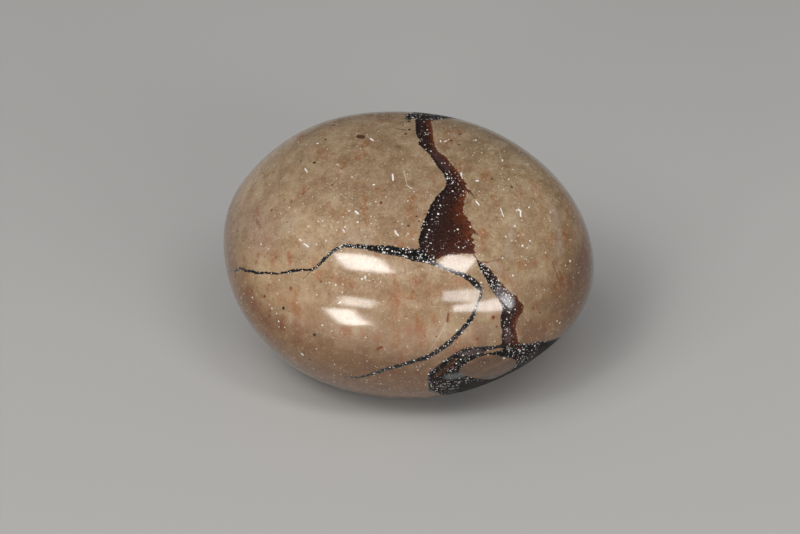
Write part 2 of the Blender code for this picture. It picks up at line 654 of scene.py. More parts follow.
VEINS = (
    Vein("wide brown vein", WIDE_VEIN_DARK_BANK, WIDE_VEIN_RED_BANK, Filling.BROWN),
    Vein("lower brown vein", LOWER_BROWN_DARK_BANK, LOWER_BROWN_RED_BANK, Filling.BROWN),
    Vein("lower black vein", LOWER_VEIN_TOP_BANK, LOWER_VEIN_UNDER_BANK, Filling.BLACK),
    Vein("rim vein", RIM_VEIN_NEAR_BANK, RIM_VEIN_FAR_BANK, Filling.BLACK),
    Crack(
        "left crack",
        (
            (226, 277, 2), (228.5, 271.5, 2), (230, 270.6, 0.2), (233.5, 271.2, 0.2),
            (235.5, 271.3, 2), (240, 268, 2.9), (244, 270, 2.9), (252, 271.5, 2.7),
            (256, 273, 2.7), (272, 273, 2.7), (277, 274, 1.5), (284, 272.6, 2.5),
            (293, 271, 2.7), (304, 269.5, 2.9), (312, 270, 3.1), (315, 268, 2.9),
            (320, 263.5, 2.9), (326, 257.5, 3.1), (332, 252, 3.1), (338, 248, 3.1),
            (346, 245.8, 3.4), (356, 246.2, 4), (365, 247, 5.2), (375, 248.6, 6.9),
            (385, 249.6, 9), (395, 251, 9), (405, 252.8, 10.3), (413, 254.8, 11.8),
            (421, 256, 12.9), (428, 259, 10.1), (436, 264, 5.6),
        ),
        Filling.BLACK,
    ),
    Crack(
        "hook vein",
        (
            (428, 259, 7.0), (436, 264, 4.0), (445, 268, 3.0), (455, 272, 3.5), (463, 275, 4.6),
            (470, 279, 6.0), (476, 283.5, 7.0), (480.5, 288.5, 5.6), (481.3, 294, 2.8),
            (478.5, 301, 2.2), (475.5, 309, 3.0), (473, 316, 4.0), (467, 324.5, 4.8),
            (458, 334, 5.0), (450, 342, 4.8), (438, 350.5, 4.6), (427, 357.3, 4.6),
            (413, 361.5, 4.0), (398, 365.8, 3.6), (382, 370.5, 3.2), (368, 375, 2.6),
            (360, 377.2, 2.2), (354, 377.6, 1.6), (346, 377, 0.8),
        ),
        Filling.BLACK,
    ),
    Crack("upper spur", ((465, 187.5, 2.6), (470, 191.5, 1.7), (474.5, 197, 0.6)), Filling.RUST),
    Crack("lower spur", ((470, 226.5, 2.8), (473.5, 230, 2.0), (478, 234.5, 0.6)), Filling.RUST),
    HiddenVein(
        "back right vein",
        (
            (160, 49, 1.6), (146, 42, 1.0), (136, 28, 1.7), (126, 12, 2.5), (110, -2, 1.7),
            (94, -9, 1.2), (76, -14, 1.4),
        ),
        Filling.BROWN,
        seed=11,
    ),
    HiddenVein(
        "back vein",
        (
            (173, 53, 1.9), (178, 38, 1.2), (-178, 22, 0.8), (-170, 8, 1.8), (-160, -8, 2.8),
            (-163, -30, 2.0), (-150, -58, 1.2),
        ),
        Filling.BROWN,
        seed=23,
    ),
    HiddenVein(
        "left end crack",
        (
            (-86, -1, 0.16), (-97, -4, 0.22), (-112, -9, 0.4), (-128, -3, 0.5), (-144, -9, 0.9),
            (-160, -7, 1.2),
        ),
        Filling.BLACK,
        seed=37,
        wander=0.2,
    ),
    HiddenVein(
        "back link",
        ((-168, 9, 0.9), (175, 3, 0.5), (158, 6, 0.5), (142, 13, 0.9), (128, 13, 1.2)),
        Filling.BLACK,
        seed=41,
        wander=0.25,
    ),
    HiddenVein(
        "under vein",
        ((10, -38, 3.2), (24, -56, 2.6), (70, -74, 1.8), (150, -62, 1.4), (-166, -34, 1.6)),
        Filling.DULL_BLACK,
        seed=53,
    ),
)

ISLANDS = (
    Crack(
        "pale lens",
        (
            (459, 371, 0.8), (461, 370.8, 3.6), (464, 370.6, 9.0), (470, 369.6, 15.5),
            (478, 368.3, 21.0), (486, 367.4, 24.0), (492, 366.6, 24.0), (499, 365.8, 20.0),
            (507, 364.2, 14.5), (513, 361.9, 8.0), (516, 361.4, 1.5),
        ),
    ),
    Crack(
        "pale sliver",
        (
            (482, 352.8, 0.5), (487, 351.9, 2.0), (494, 350.5, 2.6), (499, 349.3, 2.6),
            (504, 348.8, 0.8),
        ),
    ),
)
HEALED_LINE = ((447, 312), (445.5, 325), (440, 335), (428, 352))


@dataclass(frozen=True)
class Patch:
    """A soft patch or streak of colour, or a small crisp mark.

    Attributes:
        colour: what it is coloured.
        start: pixel of the photo where it starts.
        radius: how far it reaches, in mm.
        strength: how much of the colour shows in its middle.
        crisp: share of the radius that has the full colour.
        end: pixel where a streak ends; a round patch has none.
    """

    colour: Colour
    start: Photo
    radius: float
    strength: float = 1.0
    crisp: float = 0.0
    end: Union[Photo, None] = None

    def ends(self, view: PhotoView) -> np.ndarray:
        """Lay both its ends on the stone, in mm."""
        return view.trace([self.start, self.end or self.start])

    def cover(self, points: np.ndarray, view: PhotoView) -> np.ndarray:
        """Tell how much of its colour shows at points on the stone.

        Args:
            points: the points, in mm.
            view: the photo's camera, which places the patch.

        Returns:
            The share of its colour at each point.
        """
        start, end = self.ends(view)
        run = end - start
        gap = points - start
        share = np.clip(gap @ run / max(run @ run, 1e-9), 0, 1)
        away = np.linalg.norm(gap - share[:, None] * run, axis=1) / self.radius
        rise = np.clip((1 - away) / (1 - self.crisp), 0, 1)
        return rise * rise * (3 - 2 * rise) * self.strength


def patches(colour: Colour, *rows: Sequence[Any]) -> tuple[Patch, ...]:
    """Make patches of one colour, each from a row that holds its other attributes in order."""
    return tuple(Patch(colour, *row) for row in rows)


BLACK_DOT = seen_dull(30, 24, 20)
BROWN_DOT = seen_dull(76, 50, 28)
RED_DOT = seen(124, 62, 42)
RUST_STAIN = seen(156, 96, 66)
PINK_STAIN_AND_SHEEN = seen(168, 136, 122)
PALE_GREY = seen(172, 156, 142)
LENS_PINK = seen(124, 105, 94)
LENS_RED = seen(112, 84, 68)
# The lens's painted highlight and painted shade
LENS_GLEAM = seen(146, 130, 120)
LENS_SHADE = seen(78, 62, 54)
CRYSTAL_AND_PAINTED_GLINT = linear(250, 246, 240)
GREEN_GREY = seen_dull(92, 96, 94)
CORE_BROWN = seen_dull(80, 54, 38)
LILAC_GREY_AND_REFLECTION = seen_dull(104, 96, 98)
CHOCOLATE = seen_dull(62, 42, 40)
VEIN_RED = seen_dull(104, 54, 36)
MAUVE = seen_dull(84, 70, 68)
VEIN_MAUVE = seen_dull(92, 68, 66)
OLIVE = seen_dull(27, 23, 18)
DEEP_BROWN_AND_SHADE = seen_dull(30, 22, 16)

# Soft stains, with painted highlight, shade and sheen among them
STONE_STAINS_AND_PAINTED_LIGHT = (
    *patches(
        RUST_STAIN,
        ((257, 209), 0.5, 0.75, 0.0, (258, 220)), ((249, 291), 0.9, 0.8, 0.0, (256, 310)),
        ((262, 318), 0.8, 0.7, 0.0, (272, 328)), ((247, 313), 0.5, 0.8, 0.0, (251, 320)),
        ((283, 318), 0.7, 0.75, 0.0, (282, 331)), ((345, 331), 1.1, 0.7, 0.1),
        ((336, 279), 0.8, 0.4, 0.0, (352, 284)), ((415, 281), 1.0, 0.5),
        ((394, 296), 0.6, 0.4, 0.0, (396, 318)), ((409, 330), 1.0, 0.4),
        ((296, 322), 0.8, 0.5, 0.0, (300, 340)), ((310, 318), 2.2, 0.26), ((395, 300), 2.0, 0.3),
        ((420, 330), 2.4, 0.24), ((378, 338), 1.2, 0.45), ((455, 345), 1.6, 0.3, 0.0, (480, 335)),
        ((430, 290), 1.8, 0.24), ((500, 268), 0.6, 0.4, 0.0, (514, 288)),
        ((258.5, 254), 0.42, 0.9, 0.1, (255.5, 263)), ((288.5, 253), 0.32, 0.9, 0.1, (290, 263)),
        ((272, 263), 0.5, 0.6, 0.0, (277, 252)),
    ),
    Patch(PINK_STAIN_AND_SHEEN, (532, 336), 1.2, 0.7, 0.1, (545, 334)),
    # Painted sheen: the broad pale pink patch towards the upper left
    Patch(PINK_STAIN_AND_SHEEN, (262, 240), 3.0, 0.55, 0.1, (252, 215)),
    *patches(
        PALE_GREY,
        ((286, 226), 2.0, 0.4), ((306, 246), 1.4, 0.45), ((366, 238), 1.2, 0.35, 0.0, (345, 240)),
        ((554, 208), 1.0, 0.5, 0.0, (560, 250)), ((512, 223), 0.8, 0.4, 0.0, (507, 255)),
        ((492, 263), 0.7, 0.35, 0.0, (505, 273)),
    ),
    Patch(LENS_PINK, (466, 371), 1.2, 1.0, 0.7, (510, 363)),
    Patch(LENS_RED, (476, 361), 0.5, 0.9, 0.2, (501, 357)),
    # Painted highlight: a paler gleam along the lens
    Patch(LENS_GLEAM, (484, 370), 0.45, 0.9, 0.1, (508, 359.5)),
    # Painted shade: the lens darkens towards the rim below it
    Patch(LENS_SHADE, (474, 381), 1.2, 0.95, 0.3, (513, 370)),
)
STONE_MARKS = (
    *patches(
        BROWN_DOT,
        ((358.8, 136.4), 0.36, 1.0, 0.5, (362.5, 136.9)), ((398.6, 147), 0.54, 0.4, 0.1),
        ((397, 128.6), 0.16, 0.6, 0.1, (405, 129.8)), ((405.7, 133.8), 0.2, 1.0, 0.4),
        ((332, 125.4), 0.24, 0.8, 0.4, (334, 125)), ((325.6, 139.5), 0.24, 0.9, 0.3),
        ((301, 160.6), 0.19, 0.7, 0.3), ((273.8, 171.8), 0.24, 0.6, 0.2),
        ((261.5, 169.5), 0.26, 0.6, 0.2), ((332.4, 184.8), 0.17, 0.9, 0.4),
        ((521.5, 153), 0.24, 0.7, 0.2), ((492, 178.7), 0.23, 0.8, 0.3),
        ((511.5, 187), 0.24, 0.8, 0.3), ((536.5, 182.5), 0.2, 0.35, 0.0, (546, 179.4)),
        ((459.2, 144.6), 0.18, 0.9, 0.4), ((460, 134), 0.24, 0.7, 0.3),
        ((416.7, 216.5), 0.14, 0.9, 0.5), ((408.3, 225.7), 0.17, 0.9, 0.5),
        ((309.7, 359.4), 0.19, 0.9, 0.5), ((312, 270), 0.09, 0.6, 0.1, (303, 279)),
    ),
    *patches(
        BLACK_DOT,
        ((409.4, 129.6), 0.18, 1.0, 0.5), ((409, 121.2), 0.24, 1.0, 0.5),
        ((411.5, 117.8), 0.22, 1.0, 0.5), ((314.4, 162.7), 0.2, 1.0, 0.5),
        ((451.5, 140.5), 0.18, 0.9, 0.4), ((283.4, 308.1), 0.2, 1.0, 0.5),
        ((314.4, 334.9), 0.22, 1.0, 0.5),
    ),
    *patches(
        RED_DOT,
        ((303, 194), 0.19, 0.4, 0.1, (309, 188)), ((271.5, 210), 0.26, 0.8, 0.3),
        ((256, 220), 0.36, 0.35, 0.0, (260, 227)), ((237.5, 231), 0.24, 0.9, 0.3),
        ((381.2, 202.5), 0.22, 1.0, 0.5), ((385, 190.3), 0.19, 0.7, 0.3),
        ((264.6, 296.2), 0.22, 1.0, 0.4), ((269.5, 316), 0.24, 1.0, 0.4),
        ((270, 311), 0.2, 0.8, 0.4), ((321, 281.6), 0.17, 0.9, 0.3), ((260, 303.7), 0.2, 0.9, 0.3),
        ((251.5, 291), 0.26, 0.8, 0.2), ((249.5, 315.3), 0.24, 0.8, 0.2),
        ((281, 323), 0.2, 0.7, 0.2, (280.5, 330)), ((290.8, 288.3), 0.26, 0.8, 0.3),
        ((235.3, 276.5), 0.24, 1.0, 0.4), ((229.6, 260), 0.26, 0.8, 0.2, (229.8, 264)),
        ((378, 348.8), 0.22, 1.0, 0.3, (381.5, 347)), ((375.6, 381.7), 0.24, 1.0, 0.4),
        ((416.4, 372.8), 0.26, 0.8, 0.2), ((493.2, 317.5), 0.29, 1.0, 0.4),
        ((496.6, 326.6), 0.19, 1.0, 0.4), ((448.3, 314), 0.24, 0.8, 0.2, (447.2, 321)),
        ((477.4, 339), 0.31, 0.7, 0.1), ((540, 312.7), 0.19, 0.9, 0.4),
        ((533.4, 307.9), 0.19, 0.8, 0.4), ((543.5, 323.5), 0.38, 0.5, 0.0, (544.5, 330)),
        ((531, 321.8), 0.41, 0.5, 0.1), ((552.5, 262), 0.17, 0.5, 0.1, (561.5, 289)),
        ((555, 261), 0.14, 0.5, 0.1, (563, 280)), ((473.5, 253.5), 0.13, 0.9, 0.3, (478, 261.5)),
        ((478, 262), 0.11, 0.8, 0.2, (488, 262.3)), ((488, 262.3), 0.09, 0.6, 0.1, (500, 259)),
    ),
)
# Painted glints: small crystals painted white where they catch the light
GLINTS = patches(
    CRYSTAL_AND_PAINTED_GLINT,
    ((317, 143.4), 0.13, 1.0, 0.3, (318.2, 143.4)), ((370.6, 138.5), 0.12, 1.0, 0.3, (373, 140.5)),
    ((357, 133.5), 0.14, 0.6, 0.1), ((392.6, 174.5), 0.13, 1.0, 0.3, (393, 180)),
    ((404, 171), 0.06, 0.5, 0.2, (407, 185.5)), ((407, 185.5), 0.06, 0.6, 0.2, (413, 189)),
    ((410.5, 188.5), 0.1, 0.8, 0.2), ((414, 191.5), 0.11, 0.7, 0.2),
    ((373.3, 184.6), 0.12, 1.0, 0.3, (374.5, 184.6)), ((352, 177), 0.11, 0.8, 0.3),
    ((355.8, 211.5), 0.16, 1.0, 0.2, (358, 213.5)), ((348.5, 210.8), 0.1, 0.7, 0.1, (350, 210.8)),
    ((361, 210.5), 0.1, 0.7, 0.1), ((357.6, 222), 0.14, 1.0, 0.3),
    ((318.2, 221.5), 0.12, 1.0, 0.3), ((322.8, 221), 0.1, 1.0, 0.3),
    ((299.5, 239.2), 0.11, 0.8, 0.2, (301, 240.5)), ((304, 243.5), 0.1, 0.9, 0.2, (308.5, 247)),
    ((303, 240), 0.08, 0.6, 0.2), ((305, 168.5), 0.12, 0.9, 0.2, (307, 172)),
    ((274, 166), 0.11, 0.7, 0.2), ((272, 195.8), 0.11, 1.0, 0.3), ((289.6, 207.5), 0.1, 1.0, 0.3),
    ((343, 229.5), 0.13, 0.8, 0.1, (344.5, 232)), ((316.6, 244), 0.11, 0.9, 0.2),
    ((326, 240.5), 0.11, 0.9, 0.2), ((395, 231), 0.16, 0.8, 0.1, (398, 235.5)),
    ((408, 233.6), 0.16, 0.7, 0.1), ((408, 201), 0.11, 0.9, 0.3), ((386, 197), 0.11, 0.9, 0.3),
    ((375.5, 201.6), 0.11, 0.9, 0.3), ((475.8, 140), 0.15, 1.0, 0.4),
    ((440.3, 140.6), 0.1, 0.9, 0.2, (440.6, 142)),
    ((444.6, 141.6), 0.11, 0.9, 0.2, (446.5, 140.8)), ((448.6, 139.6), 0.1, 0.9, 0.2),
    ((502.4, 159.7), 0.12, 1.0, 0.3, (502.6, 161)), ((461, 173), 0.16, 0.8, 0.2, (461.6, 178)),
    ((476.5, 180.8), 0.14, 1.0, 0.3, (478, 180.8)), ((476, 201), 0.11, 0.9, 0.3, (479, 205)),
    ((500.5, 208), 0.08, 0.9, 0.3, (503.5, 216.5)), ((518.5, 209.5), 0.13, 1.0, 0.3, (520.5, 211)),
    ((520.5, 211), 0.12, 1.0, 0.3, (520.6, 216)), ((515, 226), 0.14, 1.0, 0.3),
    ((550, 221), 0.11, 0.9, 0.2), ((522.5, 245.6), 0.16, 1.0, 0.3), ((527, 248), 0.1, 1.0, 0.3),
    ((530.2, 240.9), 0.13, 1.0, 0.3), ((506, 236.6), 0.11, 1.0, 0.3),
    ((502.8, 258.2), 0.12, 0.9, 0.3), ((570.2, 261), 0.15, 1.0, 0.3),
    ((565.6, 265.4), 0.11, 0.9, 0.3), ((513, 275.5), 0.15, 1.0, 0.3), ((557, 321), 0.12, 0.9, 0.3),
    ((365.4, 276.5), 0.16, 0.8, 0.1, (365, 278)), ((369.5, 280.5), 0.1, 0.8, 0.1),
    ((335.8, 284.8), 0.12, 1.0, 0.3), ((342.3, 292.3), 0.12, 0.9, 0.2),
    ((338.6, 303.6), 0.11, 0.8, 0.2, (340.5, 302)), ((241, 297.5), 0.12, 0.9, 0.2),
    ((322.2, 325.2), 0.12, 0.9, 0.3), ((301.7, 354), 0.16, 1.0, 0.3, (303, 355)),
    ((316.4, 349), 0.11, 0.9, 0.2), ((334.5, 364.5), 0.11, 0.9, 0.2),
    ((340.3, 368), 0.1, 0.9, 0.2), ((383.5, 390.5), 0.1, 0.8, 0.2), ((506, 346.4), 0.18, 1.0, 0.4),
)
# Stains in the fillings, with painted reflection and painted shade among them
VEIN_STAINS_AND_PAINTED_LIGHT = (
    Patch(CHOCOLATE, (446, 253), 0.9, 0.5, 0.3, (470, 251)),
    Patch(VEIN_RED, (430, 122), 0.26, 0.7, 0.1, (433, 142)),
    Patch(VEIN_MAUVE, (433, 152), 0.7, 0.4, 0.1, (448, 168)),
    Patch(GREEN_GREY, (449, 377), 0.8, 0.9, 0.1, (461, 375)),
    Patch(CORE_BROWN, (436, 376), 0.42, 1.0, 0.2, (455, 360)),
    Patch(MAUVE, (462, 354), 0.6, 0.85, 0.1, (480, 351.5)),
    Patch(VEIN_MAUVE, (507.5, 331), 0.6, 0.7, 0.2, (508.5, 340)),
    Patch(OLIVE, (480, 266), 0.75, 0.9, 0.5, (496, 290)),
    # Painted reflection: pale lilac grey where a highlight crosses the filling, partly its own grey
    Patch(LILAC_GREY_AND_REFLECTION, (499, 291), 0.75, 1.0, 0.3, (511, 303)),
    Patch(OLIVE, (548, 349), 2.3, 1.0, 0.7, (562, 340)),
    Patch(OLIVE, (443, 387), 0.7, 0.7, 0.2, (458, 386)),
    # Painted shade, partly vein: a deep brown band along the rim under the lens
    Patch(DEEP_BROWN_AND_SHADE, (470, 388), 1.6, 1.0, 0.6, (530, 371)),
    Patch(CORE_BROWN, (420, 116.5), 0.5, 0.6, 0.1),
    # Painted reflection: pale lilac grey where highlights cross the veins, partly their own grey
    Patch(LILAC_GREY_AND_REFLECTION, (432, 262), 0.34, 0.8, 0.2, (455, 271)),
    Patch(LILAC_GREY_AND_REFLECTION, (334, 252.5), 0.22, 0.7, 0.2, (345, 247)),
)

# How many more crystals show as painted glints: only the strengths count here, not the colour
CRYSTAL_GLINT_CROWDS = patches(
    CRYSTAL_AND_PAINTED_GLINT,
    ((426, 128), 0.9, 0.25, 0.2, (434, 150)), ((446, 172), 1.2, 0.35, 0.2, (458, 190)),
    ((440, 200), 0.9, 0.25, 0.0, (428, 240)), ((430, 248), 0.9, 0.35, 0.2, (468, 243)),
    ((482, 268), 1.1, 0.9, 0.4, (506, 300)), ((507, 314), 0.9, 0.4, 0.2, (508, 345)),
    ((385, 250), 0.9, 0.4, 0.3, (430, 258)), ((432, 385), 0.9, 0.5, 0.3, (450, 388)),
    # Of the two here, the second takes the specks out of the painted shade under the lens
    ((549, 350), 3.0, -1.6, 0.6, (562, 340)), ((470, 388), 1.9, -1.5, 0.6, (530, 371)),
    ((436, 376), 0.5, -0.6, 0.3, (455, 360)), ((420, 232), 0.7, 0.4, 0.3, (424, 212)),
    ((340, 222), 6.0, 0.7, 0.3), ((262, 232), 3.5, 0.5, 0.2), ((527, 243), 3.0, 0.6, 0.2),
    ((375, 275), 2.0, 0.5, 0.2), ((449, 377), 0.6, -0.6, 0.2, (461, 375)),
)


def reckoning(operation: str, swapped: bool = False) -> Callable[[Any, Any], Any]:
    """Make a method that adds a Math node on a signal and another value.

    Args:
        operation: Blender's name for what the node does.
        swapped: whether the other value comes first.

    Returns:
        The method, which gives the node's signal.
    """

    def method(signal: "Signal", other: Any) -> "Signal":
        """Add the Math node."""
        return signal.graph.math(operation, *((other, signal) if swapped else (signal, other)))

    return method


@dataclass(frozen=True)
class Signal:
    """A shader socket that can be reckoned with as if it were a number.

    The methods least and most take the lower and the higher of the signal and a value.
    """

    graph: "Graph"
    socket: bpy.types.NodeSocket

    __add__ = reckoning("ADD")
    __radd__ = reckoning("ADD", swapped=True)
    __sub__ = reckoning("SUBTRACT")
    __rsub__ = reckoning("SUBTRACT", swapped=True)
    __mul__ = reckoning("MULTIPLY")
    __rmul__ = reckoning("MULTIPLY", swapped=True)
    __truediv__ = reckoning("DIVIDE")
    least = reckoning("MINIMUM")
    most = reckoning("MAXIMUM")

    def step(self, low: float, high: float, bottom: float = 0.0, top: float = 1.0) -> "Signal":
        """Rise smoothly from bottom to top while this signal goes from low to high.

        Args:
            low: where the rise starts.
            high: where the rise ends.
            bottom: value up to the start.
            top: value from the end on.

        Returns:
            The risen signal.
        """
        sockets = {0: self, 1: low, 2: high, 3: bottom, 4: top}
        return self.graph.node("ShaderNodeMapRange", {"interpolation_type": "SMOOTHSTEP"}, sockets)


class Blend(Enum):
    """How a colour goes over another."""

    MIX = "MIX"
    MULTIPLY = "MULTIPLY"


class Graph:
    """The nodes of one material.

    Attributes:
        tree: the material's node tree.
        shader: its Principled shader.
        place: where the material is read, in mm in the shared frame.
        SMALLEST_DOT: radius of the smallest dots, as a share of the greatest.
        DOT_SOFTNESS: share of a dot's radius over which it fades.
        SHARP: width of a step that is as good as sudden.
    """

    SMALLEST_DOT = 0.45
    DOT_SOFTNESS = 0.45
    SHARP = 0.001

    def __init__(self, material: bpy.types.Material) -> None:
        """Start from a material's own node tree."""
        material.use_nodes = True
        self.tree = material.node_tree
        self.shader = self.tree.nodes["Principled BSDF"]
        self.place = self.scaled(self.node("ShaderNodeTexCoord", output="Object"), 1 / MM)

    def node(
        self,
        kind: str,
        settings: Union[dict[str, Any], None] = None,
        sockets: Union[dict[Any, Any], None] = None,
        output: Union[int, str] = 0,
    ) -> Signal:
        """Add one node.

        Args:
            kind: Blender's name for the type of node.
            settings: its properties, which are set first.
            sockets: values or signals for its inputs, by name or number.
            output: the output that is wanted.

        Returns:
            That output.
        """
        node = self.tree.nodes.new(kind)
        for name, value in (settings or {}).items():
            setattr(node, name, value)
        for key, value in (sockets or {}).items():
            self.feed(node.inputs[key], value)
        return Signal(self, node.outputs[output])

    def feed(self, socket: bpy.types.NodeSocket, value: Any) -> None:
        """Link a signal to an input, or set a plain value on it."""
        if isinstance(value, Signal):
            self.tree.links.new(value.socket, socket)
        else:
            socket.default_value = value

    def finish(self, sockets: dict[str, Any]) -> None:
        """Give the material's own shader its signals and plain values, by socket name."""
        for name, value in sockets.items():
            self.feed(self.shader.inputs[name], value)

    def math(self, operation: str, *values: Any) -> Signal:
        """Add a Math node on numbers or signals."""
        return self.node("ShaderNodeMath", {"operation": operation}, dict(enumerate(values)))

    def vector(self, operation: str, first: Any, second: Any, output: str = "Vector") -> Signal:
        """Add a Vector Math node on two vectors."""
        settings = {"operation": operation}
        return self.node("ShaderNodeVectorMath", settings, {0: first, 1: second}, output)

    def scaled(self, vector: Any, factor: Any) -> Signal:
        """Make a vector longer or shorter."""
        sockets = {0: vector, "Scale": factor}
        return self.node("ShaderNodeVectorMath", {"operation": "SCALE"}, sockets)

    def parts(self, vector: Signal) -> tuple[Signal, ...]:
        """Take a vector apart into its three numbers."""
        first = self.node("ShaderNodeSeparateXYZ", None, {0: vector})
        return tuple(Signal(self, output) for output in first.socket.node.outputs)

    def blend(self, under: Any, over: Any, share: Any, blend: Blend = Blend.MIX) -> Signal:
        """Lay one colour over another.

        Args:
            under: the colour below.
            over: the colour on top.
            share: how much of the top colour shows.
            blend: how the colours combine.

        Returns:
            The combined colour.
        """
        settings = {"data_type": "RGBA", "blend_type": blend.value}
        return self.node("ShaderNodeMix", settings, {0: share, 6: under, 7: over}, 2)

    def ramp(self, reading: Signal, stops: Sequence[tuple[float, Colour]]) -> Signal:
        """Read a colour off a ramp.

        Args:
            reading: where the ramp is read, from 0 to 1.
            stops: a place and a colour for each stop.

        Returns:
            The colour.
        """
        colour = self.node("ShaderNodeValToRGB", None, {0: reading})
        ramp = colour.socket.node.color_ramp
        while len(ramp.elements) < len(stops):
            ramp.elements.new(1.0)
        for element, (place, shade) in zip(ramp.elements, stops):
            element.position = place
            element.color = shade
        return colour

    def stored(self, name: str, output: str) -> Signal:
        """Read what the mesh holds under a name."""
        return self.node("ShaderNodeAttribute", {"attribute_name": name}, output=output)

    def stain(self, under: Signal, name: str, share: Any) -> Signal:
        """Lay the stains and painted light that the mesh holds under a name over a colour.

        Args:
            under: the colour below.
            name: the stains and painted light, whose colour is stored already multiplied by their
                cover.
            share: how much of the stains shows.

        Returns:
            The stained colour.
        """
        colour = self.stored(name, "Color")
        kept = self.scaled(under, 1.0 - self.stored(name, "Alpha") * share)
        return self.vector("ADD", kept, self.scaled(colour, share))

    def noise(
        self,
        scale: float,
        detail: float = 2.0,
        rough: float = 0.5,
        place: Union[Signal, None] = None,
    ) -> Signal:
        """Soft noise round one half.

        Args:
            scale: swings in a millimetre.
            detail: number of finer layers.
            rough: how strong the finer layers are.
            place: where the noise is read, if it isn't the material's own place.

        Returns:
            The noise.
        """
        vector = place or self.place
        sockets = {"Vector": vector, "Scale": scale, "Detail": detail, "Roughness": rough}
        return self.node("ShaderNodeTexNoise", None, sockets)

    def away(self, place: Signal, start: Sequence[float], end: Sequence[float]) -> Signal:
        """Distance from a stretch between two points, or from one point if they are the same.

        Args:
            place: where the distance is wanted, in mm.
            start: start of the stretch, in mm.
            end: end of the stretch, in mm.

        Returns:
            The distance, in mm.
        """
        run = np.array(end) - np.array(start)
        if not run.any():
            return self.vector("DISTANCE", place, start, "Value")
        gap = self.vector("SUBTRACT", place, start)
        share = self.vector("DOT_PRODUCT", gap, tuple(run / (run @ run)), "Value")
        held = self.node("ShaderNodeClamp", None, {0: share})
        return self.vector("DISTANCE", gap, self.scaled(tuple(run), held), "Value")

    def warped(self, scale: float, reach: float, squash: Sequence[float] = (1.0, 1.0, 1.0)) -> Signal:
        """Bend and squash the material's place.

        Args:
            scale: bends in a millimetre.
            reach: how far the bends go, in mm.
            squash: what each axis is multiplied by afterwards.

        Returns:
            The bent place.
        """
        sockets = {"Vector": self.place, "Scale": scale}
        bend = self.node("ShaderNodeTexNoise", None, sockets, "Color")
        centred = self.vector("SUBTRACT", bend, (0.5, 0.5, 0.5))
        moved = self.vector("ADD", self.place, self.scaled(centred, 2 * reach))
        return self.vector("MULTIPLY", moved, squash)

    def dots(self, place: Signal, scale: float, radius: float, kept: Any) -> tuple[Signal, Signal]:
        """Small round dots strewn at random.

        Args:
            place: where the dots are read, in mm.
            scale: cells in a millimetre.
            radius: greatest radius of a dot, in mm.
            kept: share of the cells that hold a dot, a number or a signal.

        Returns:
            The mask of the dots, and a random number for each.
        """
        sockets = {"Vector": place, "Scale": scale}
        cells = self.node("ShaderNodeTexVoronoi", None, sockets, "Distance")
        pick, shade, _ = self.parts(Signal(self, cells.socket.node.outputs["Color"]))
        size = radius * scale * (self.SMALLEST_DOT + (1 - self.SMALLEST_DOT) * shade)
        inside = (1.0 - cells / size).step(0.0, self.DOT_SOFTNESS)
        return inside * (pick + kept).step(1.0, 1.0 + self.SHARP), shade


